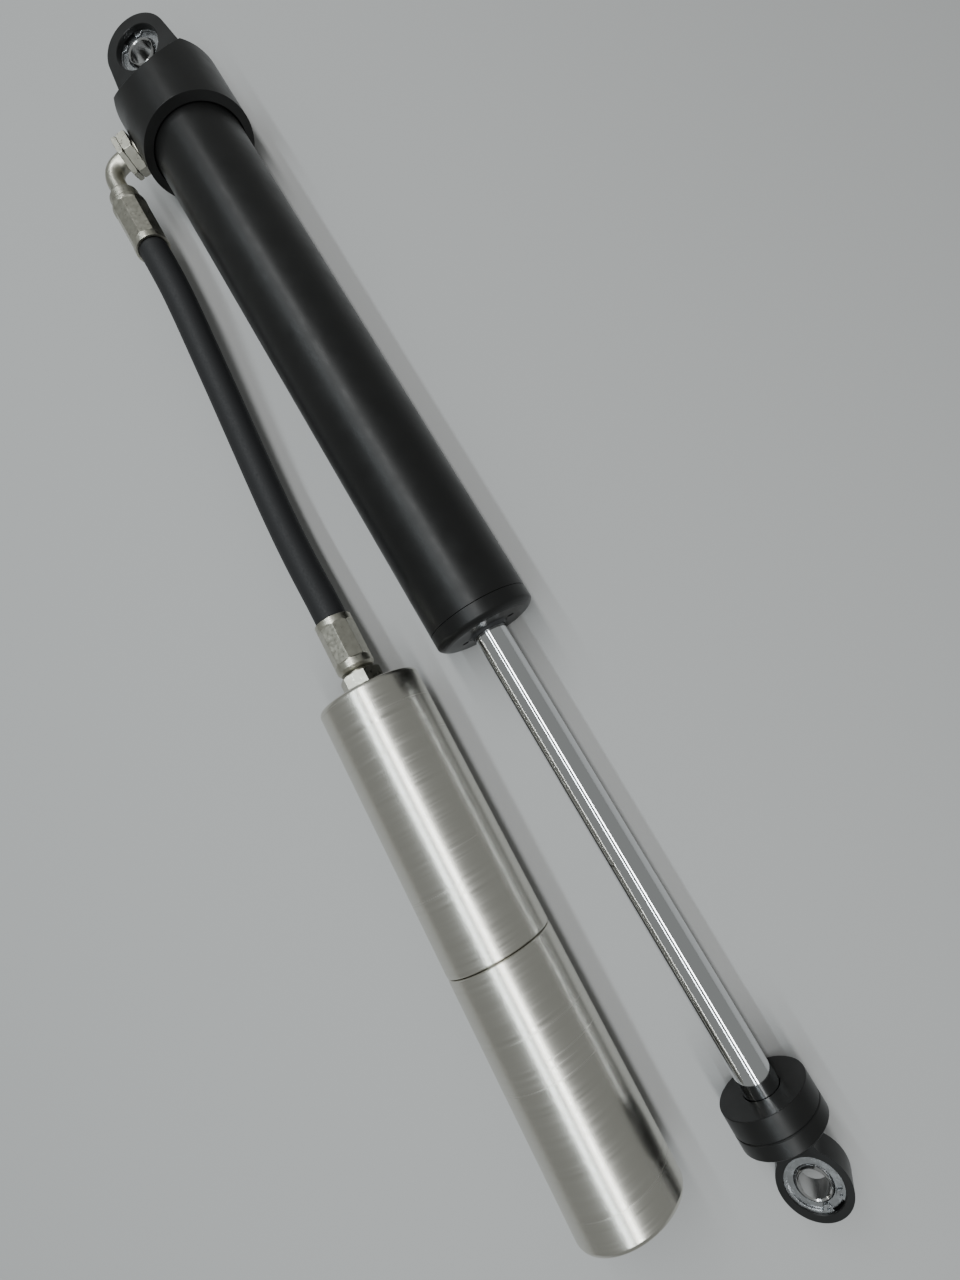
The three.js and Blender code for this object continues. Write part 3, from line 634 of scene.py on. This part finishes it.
def fill_eye(name, bearing, place, body, ball_body, gap_turn):
    """The loose pieces of an eye: bearing race, ball and two snap rings."""
    seat = bearing["ball"] + GAP
    reach = math.asin(bearing["race_half"] / seat)
    half = bearing["race_half"]
    race = [(-half, bearing["race"] - 0.5), (-half, seat * math.cos(reach) + 0.5)]
    race += [(seat * math.sin(t), seat * math.cos(t)) for t in
             [reach * (i / 12 - 1) for i in range(25)]]
    race += [(half, seat * math.cos(reach) + 0.5), (half, bearing["race"] - 0.5),
             (half - 0.5, bearing["race"]), (-half + 0.5, bearing["race"])]
    piece(f"{name}_race", turned(race, FINE, 0.0), place @ UPRIGHT, "spring_steel", body,
          [f"{name}_bearing_race"])
    wide = bearing["half"]
    reach = math.asin(wide / bearing["ball"])
    ball = [(-wide, bearing["bore"] + 0.7), (-wide + 0.7, bearing["bore"]),
            (wide - 0.7, bearing["bore"]), (wide, bearing["bore"] + 0.7)]
    ball += [(bearing["ball"] * math.sin(t), bearing["ball"] * math.cos(t)) for t in
             [reach * (1 - i / 12) for i in range(25)]]
    piece(f"{name}_ball", turned(ball, FINE, 0.0), place @ UPRIGHT, "ball_steel", ball_body,
          [f"{name}_bearing_ball"])
    for suffix, side in (("top", 1), ("bottom", -1)):
        lift = Matrix.Translation((0, 0, side * snap_height(bearing) * MM))
        turn = Matrix.Rotation(gap_turn, 4, "Z")
        piece(f"{name}_clip_{suffix}", snap_ring(bearing["race"] + 1.0, 2.2, 0.28),
              place @ lift @ turn, "spring_steel", body, [f"{name}_snap_ring_{suffix}"])


# ---------------------------------------------------------------- cylinder
def add_head_cap():
    """The black head: a milled-down cylinder with the eye's tab, the tube's socket and the port."""
    socket = TUBE_RADIUS + GAP
    body = turned([
        (CAP_END, 0), (CAP_END, CAP_RADIUS - 1.2), (CAP_END + 1.2, CAP_RADIUS),
        (CAP_MOUTH - 1.9, CAP_RADIUS), (CAP_MOUTH, socket + 0.9), (CAP_MOUTH - 0.9, socket),
        (CAP_SOCKET_END, socket), (CAP_SOCKET_END, 20), (CAP_SOCKET_END - 14, 20),
        (CAP_SOCKET_END - 22, 0),
    ], FINE, 0)
    eye = plate(tapered_eye(UPPER_EYE_X, UPPER_EYE_RADIUS, CAP_END + 6, 33), UPPER_EYE_HALF)
    eye.transform(Matrix.Rotation(CAP_ROLL, 4, "X"))
    shoulders = []
    run = 18.0
    fall = 16.4
    for side in (0, math.pi):
        shoulder = block((60, 120, 30), (-30, 0, 15))
        tilt = Matrix.Rotation(-math.atan2(fall, run), 4, "Y")
        shoulder.transform(Matrix.Translation(Vector((CAP_END + run, 0, CAP_RADIUS)) * MM) @ tilt)
        keep = block((120, 120, 40), (CAP_END - 20, 0, 0))
        shoulder = combined(shoulder, [keep], "DIFFERENCE")
        shoulder.transform(Matrix.Rotation(CAP_ROLL + side, 4, "X"))
        shoulders.append(shoulder)
    port = bar("y", 8.2, -60, -30)
    spot_face = bar("y", 16.6, -CAP_RADIUS - 5, -CAP_RADIUS + 0.2, FINE)
    for cutter in (port, spot_face):
        cutter.transform(Matrix.Translation((PORT_X * MM, 0, 0)))
    solid = combined(combined(body, [eye], "UNION"), shoulders, "DIFFERENCE")
    solid = softened(solid, 0.4)
    bore = eye_cutter(UPPER_BEARING, UPPER_EYE_HALF, UPPER_EYE_X, CAP_ROLL)
    solid = combined(solid, [bore, port, spot_face], "DIFFERENCE")
    piece("cap_body", solid, CYLINDER, "black_anodised", "cylinder", ["head_cap"])


def add_tube():
    """The cylinder's tube."""
    piece("tube_body", turned([
        (CAP_SOCKET_END + GAP, BORE_RADIUS), (0, BORE_RADIUS), (0, TUBE_RADIUS),
        (CAP_SOCKET_END + GAP, TUBE_RADIUS),
    ], FINE, 0.35), CYLINDER, "black_anodised", "cylinder", ["cylinder_tube"])


def add_gland():
    """The seal head's outer ring with its two spanner holes, and the rod wiper."""
    wiper_seat = 13.9
    spanner_out = 17.4
    ring = turned([
        (-14, 12.4), (-14, BORE_RADIUS - GAP), (GAP, BORE_RADIUS - GAP), (GAP, TUBE_RADIUS),
        (GLAND_RIM, TUBE_RADIUS), (9.2, 34.7), (10.2, 33.9), (11.3, 32.5), (12.1, 31.0),
        (GLAND_FACE, 29.2), (GLAND_FACE, wiper_seat), (6, wiper_seat), (6, 12.4),
    ], FINE, 0.25)
    holes = []
    for side in (-1, 1):
        hole = bar("x", 2.4, 5.5, 20)
        aside = Matrix.Translation((0, side * spanner_out * MM, 0))
        hole.transform(Matrix.Rotation(CAP_ROLL, 4, "X") @ aside)
        holes.append(hole)
    piece("gland_ring", combined(ring, holes, "DIFFERENCE"), CYLINDER, "black_anodised", "cylinder",
          ["gland_cap"])
    clear = ROD_RADIUS + GAP
    piece("wiper_lip", turned([
        (6.3, clear + 0.6), (11, clear + 0.6), (14.2, clear), (14.6, clear + 0.5), (13.3, 12.8),
        (12.4, 13.6), (6.3, 13.6),
    ], MIDDLE, 0.15), CYLINDER, "seal_rubber", "cylinder", ["rod_wiper"])


def add_port_fitting():
    """The adaptor in the cap, the swivel nut on it, and the bent tube to the hose."""
    seat = CAP_RADIUS + 0.2
    adaptor = combined(hexagon(27, seat, ADAPTOR_OUT, 0), [bar("x", 7.9, 30.4, seat + 2)], "UNION")
    adaptor = combined(adaptor, [bar("x", 4, 0, 80)], "DIFFERENCE")
    piece("port_hex", softened(adaptor, 0.2), PORT, "zinc_plate", "cylinder", ["port_adaptor"])
    nut = softened(hexagon(27, ADAPTOR_OUT + GAP, NUT_OUT, ELBOW_RADIUS + GAP), 0.2)
    piece("port_nut", nut, PORT, "zinc_plate", "cylinder", ["swivel_nut"])

    out = NUT_OUT + ELBOW_BEND
    end = UPPER_FERRULE_X - GAP
    points = [(PORT_X, -ADAPTOR_OUT - 0.5), (PORT_X, -NUT_OUT)]
    for i in range(1, 25):
        t = i / 24
        points.append((PORT_X + ELBOW_BEND * t * t, -NUT_OUT - ELBOW_BEND * (2 * t - t * t)))
    for i in range(1, 21):
        points.append((PORT_X + ELBOW_BEND + (end - PORT_X - ELBOW_BEND) * i / 20, -out))
    radii = [ELBOW_RADIUS] * len(points)
    for i in range(len(points) - 6, len(points) - 3):
        radii[i] = ELBOW_RADIUS + 0.22
    tube = swept([Vector((x, y, 0)) * MM for x, y in points], [r * MM for r in radii], SMALL)
    piece("bent_tube", tube, CYLINDER, "zinc_plate", "cylinder", ["elbow"])


def crimped(outline, start, end, flats=8, press=0.95):
    """A sleeve along X whose wall is pressed into flats between start and end."""
    def radius_at(station, radius, angle):
        if radius < 6 or not start <= station <= end:
            return radius
        ease = min(1.0, (station - start) / 1.2, (end - station) / 1.2)
        turn = TURN / flats
        off = (angle + turn / 2) % turn - turn / 2
        flat = (radius - press * ease) / math.cos(off)
        return min(radius, flat)
    return spun(rounded(outline, 0.3), radius_at, FINE)


def add_ferrules():
    """The two crimped sleeves on the hose's ends."""
    r = FERRULE_RADIUS
    length = UPPER_FERRULE_LENGTH
    walls = [(x, r) for x in (14.2, 14.8, 15.4, 16.0, 48.0, 48.6, 49.2, 49.8)]
    upper = crimped([
        (0, 4.2), (0, 9.4), (1.6, 9.4), (1.6, 11.2), (9.4, 11.2), (10.6, 12.1), (11.8, r), *walls,
        (length, r), (length, 11.2), (length - 6, 11.2), (length - 6, 4.2),
    ], 14, 50)
    out = NUT_OUT + ELBOW_BEND
    spot = Matrix.Translation(Vector((UPPER_FERRULE_X, -out, 0)) * MM) @ Matrix.Rotation(0.39, 4, "X")
    piece("upper_sleeve", upper, CYLINDER @ spot, "zinc_plate", "cylinder", ["upper_ferrule"])

    length = LOWER_FERRULE_LENGTH
    walls = [(x, r) for x in (4.2, 4.8, 5.4, 6.0, 30.0, 30.6, 31.2, 31.8)]
    lower = crimped([
        (0, 4.2), (0, 11.2), (0, r), *walls, (length - 2.2, r), (length, 11.4), (length, 4.2),
    ], 4, 32)
    spot = Matrix.Translation((LOWER_FERRULE_X * MM, 0, 0)) @ Matrix.Rotation(0.2, 4, "X")
    piece("lower_sleeve", lower, RESERVOIR @ spot, "zinc_plate", "reservoir", ["lower_ferrule"])


# ---------------------------------------------------------------- rod
def add_rod():
    """The chromed rod, the collar on its end and the black end piece with its eye."""
    shoulder = -60.8
    stud = 7.9
    thread = 9.5
    tip = 351.0
    piece("rod_body", turned([
        (-110, 0), (-110, stud), (shoulder, stud), (shoulder, ROD_RADIUS), (FLANGE_X, ROD_RADIUS),
        (FLANGE_X, thread), (tip, thread), (tip, 0),
    ], MIDDLE, 0.4), CYLINDER, "hard_chrome", "rod", ["rod"])
    clear = ROD_RADIUS + GAP
    piece("collar_ring", turned([
        (COLLAR_X, clear), (COLLAR_X, COLLAR_RADIUS), (FLANGE_X - GAP, COLLAR_RADIUS),
        (FLANGE_X - GAP, clear),
    ], FINE, 0.55), CYLINDER, "black_anodised", "rod", ["bump_collar"])

    flange = turned([
        (FLANGE_X, 0), (FLANGE_X, COLLAR_RADIUS - 0.7), (FLANGE_X + 0.7, COLLAR_RADIUS),
        (FLANGE_END - 0.9, COLLAR_RADIUS), (FLANGE_END, COLLAR_RADIUS - 0.9), (FLANGE_END, 17),
        (FLANGE_END + 1, 15.4), (FLANGE_END + 3, 13.8), (FLANGE_END + 9, 12), (FLANGE_END + 9, 0),
    ], FINE, 0)
    outline = necked_eye(LOWER_EYE_X, LOWER_EYE_RADIUS, FLANGE_END - 2, LOWER_NECK_HALF,
                         LOWER_NECK_FILLET)
    eye = plate(outline, LOWER_EYE_HALF)
    eye.transform(Matrix.Rotation(LOWER_EYE_ROLL, 4, "X"))
    cutters = [
        eye_cutter(LOWER_BEARING, LOWER_EYE_HALF, LOWER_EYE_X, LOWER_EYE_ROLL),
        bar("x", thread + GAP, FLANGE_X - 5, tip + 0.5),
        bar("x", clear, FLANGE_X - 5, FLANGE_X + GAP, MIDDLE),
    ]
    solid = softened(combined(flange, [eye], "UNION"), 0.35)
    solid = combined(solid, cutters, "DIFFERENCE")
    piece("rod_eye", solid, CYLINDER, "black_anodised", "rod", ["rod_end"])


# ---------------------------------------------------------------- reservoir
def add_reservoir():
    """The reservoir's two shells, which meet at a seam."""
    seam = RESERVOIR_SEAM
    upper = turned([
        (0, 0), (0, 32.4), (0.9, 34.1), (2.8, TUBE_RADIUS), (seam - 1.0, TUBE_RADIUS),
        (seam - GAP / 2, TUBE_RADIUS - 0.9), (seam - GAP / 2, BORE_RADIUS), (18, BORE_RADIUS),
        (12, BORE_RADIUS - 10), (12, 0),
    ], FINE, 0.5)
    upper = combined(upper, [bar("x", 8.2, -5, 9), bar("x", 4.5, 0, 20)], "DIFFERENCE")
    piece("reservoir_shell_upper", upper, RESERVOIR, "turned_aluminium", "reservoir",
          ["reservoir_upper"])
    groove = END_CAP_X + 14 + GAP
    end = RESERVOIR_LENGTH
    lower = turned([
        (seam + GAP / 2, BORE_RADIUS), (seam + GAP / 2, TUBE_RADIUS - 0.9),
        (seam + 1.0, TUBE_RADIUS), (end - 2.8, TUBE_RADIUS), (end - 0.9, 34.1), (end, 32.9),
        (end, BORE_RADIUS + 0.4), (groove + 2.4, BORE_RADIUS), (groove + 2.4, BORE_RADIUS + 1.4),
        (groove, BORE_RADIUS + 1.4), (groove, BORE_RADIUS),
    ], FINE, 0.5)
    piece("reservoir_shell_lower", lower, RESERVOIR, "turned_aluminium", "reservoir",
          ["reservoir_lower"])


def add_reservoir_end():
    """The end cap with its snap ring and gas valve."""
    x = END_CAP_X
    wide = BORE_RADIUS - GAP
    piece("end_plate", turned([
        (x, 5.3), (x, wide), (x + 4, wide), (x + 4, 28.4), (x + 8, 28.4), (x + 8, wide),
        (x + 14, wide), (x + 14, 22), (x + 10, 20), (x + 10, 5.3),
    ], FINE, 0.35), RESERVOIR, "black_anodised", "reservoir", ["reservoir_end_cap"])
    clip = Matrix.Translation(((x + 15.5) * MM, 0, 0)) @ Matrix.Rotation(0.6, 4, "X")
    ring = snap_ring(BORE_RADIUS + 1.1, 3, 0.2)
    ring.transform(clip @ Matrix.Rotation(math.pi / 2, 4, "Y"))
    piece("end_clip", ring, RESERVOIR, "spring_steel", "reservoir", ["end_cap_snap_ring"])
    tip = x + 17.5
    piece("valve_stem", turned([
        (x - 3, 1.9), (x - 3, 5), (x + 10.3, 5), (x + 10.3, 7.5), (x + 12.5, 7.5), (x + 12.5, 4.2),
        (tip, 4.2), (tip, 1.9),
    ], SMALL, 0.15), RESERVOIR, "spring_steel", "reservoir", ["gas_valve_body"])
    piece("valve_hood", turned([
        (x + 12.8, 4.5), (x + 12.8, 6.2), (tip + 1.6, 6.2), (tip + 2.4, 5.4), (tip + 2.4, 0),
        (tip + GAP, 0), (tip + GAP, 4.5),
    ], SMALL, 0.2), RESERVOIR, "spring_steel", "reservoir", ["valve_cap"])


def add_hose_end():
    """The hexagon on the reservoir and the grooved neck of the hose stem."""
    adaptor = combined(hexagon(25.4, HEX_X, -GAP, 0), [bar("x", 7.9, -2, 8.5)], "UNION")
    adaptor = combined(adaptor, [bar("x", 4, -30, 20)], "DIFFERENCE")
    piece("reservoir_hex", softened(adaptor, 0.2), RESERVOIR, "zinc_plate", "reservoir",
          ["reservoir_adaptor"])
    start = LOWER_FERRULE_X + LOWER_FERRULE_LENGTH + GAP
    piece("stem_neck", turned([
        (start, 4), (HEX_X - GAP, 4), (HEX_X - GAP, 9.6), (HEX_X - 1.4, 9.6), (HEX_X - 1.4, 8),
        (start, 8),
    ], MIDDLE, 0.2), RESERVOIR, "zinc_plate", "reservoir", ["hose_stem"])


# ---------------------------------------------------------------- floor and light
def add_floor():
    """A plain matt floor."""
    floor = as_object(block((FLOOR_SIDE, FLOOR_SIDE, 2), (0, 0, -1)), "floor")
    paper = Finish("floor_paper", (0.40, 0.40, 0.395), 0.0, 0.75, 0.2)
    floor.data.materials.append(paper.material)


def strip(name, y, z, width, power, color):
    """A long lamp along X that faces the object, and so draws a streak along each round piece."""
    data = bpy.data.lights.new(name, "AREA")
    data.shape = "RECTANGLE"
    data.size = LAMP_LENGTH
    data.size_y = width
    data.energy = power
    data.color = color
    light = bpy.data.objects.new(name, data)
    aim = Matrix.Rotation(math.atan2(-y, z), 4, "X").inverted()
    light.matrix_world = Matrix.Translation((0, y, z)) @ aim
    scene.collection.objects.link(light)


def add_light():
    """An even grey surround, two thin tubes overhead, a warm lamp and a pale window."""
    world = bpy.data.worlds.new("room")
    world.use_nodes = True
    sky = world.node_tree.nodes["Background"]
    sky.inputs["Color"].default_value = (0.94, 0.97, 0.95, 1)
    sky.inputs["Strength"].default_value = 0.30
    scene.world = world
    strip("warm_lamp", -1.75, 1.20, 0.30, 46, (1.0, 0.93, 0.78))
    strip("cool_tube", -0.36, 1.30, 0.07, 14, (0.86, 0.95, 1.0))
    strip("near_tube", 0.05, 1.30, 0.12, 20, (0.97, 0.99, 1.0))
    strip("window", 1.90, 1.00, 0.80, 44, (0.93, 0.98, 1.0))


# ---------------------------------------------------------------- build
add_camera()
dress_cad_nodes()
add_hose()
add_head_cap()
fill_eye("upper", UPPER_BEARING, UPPER_EYE, "cylinder", "upper_ball", 3.3)
add_tube()
add_gland()
add_port_fitting()
add_ferrules()
add_rod()
fill_eye("lower", LOWER_BEARING, LOWER_EYE, "rod", "lower_ball", 0.45)
add_reservoir()
add_reservoir_end()
add_hose_end()
add_floor()
add_light()
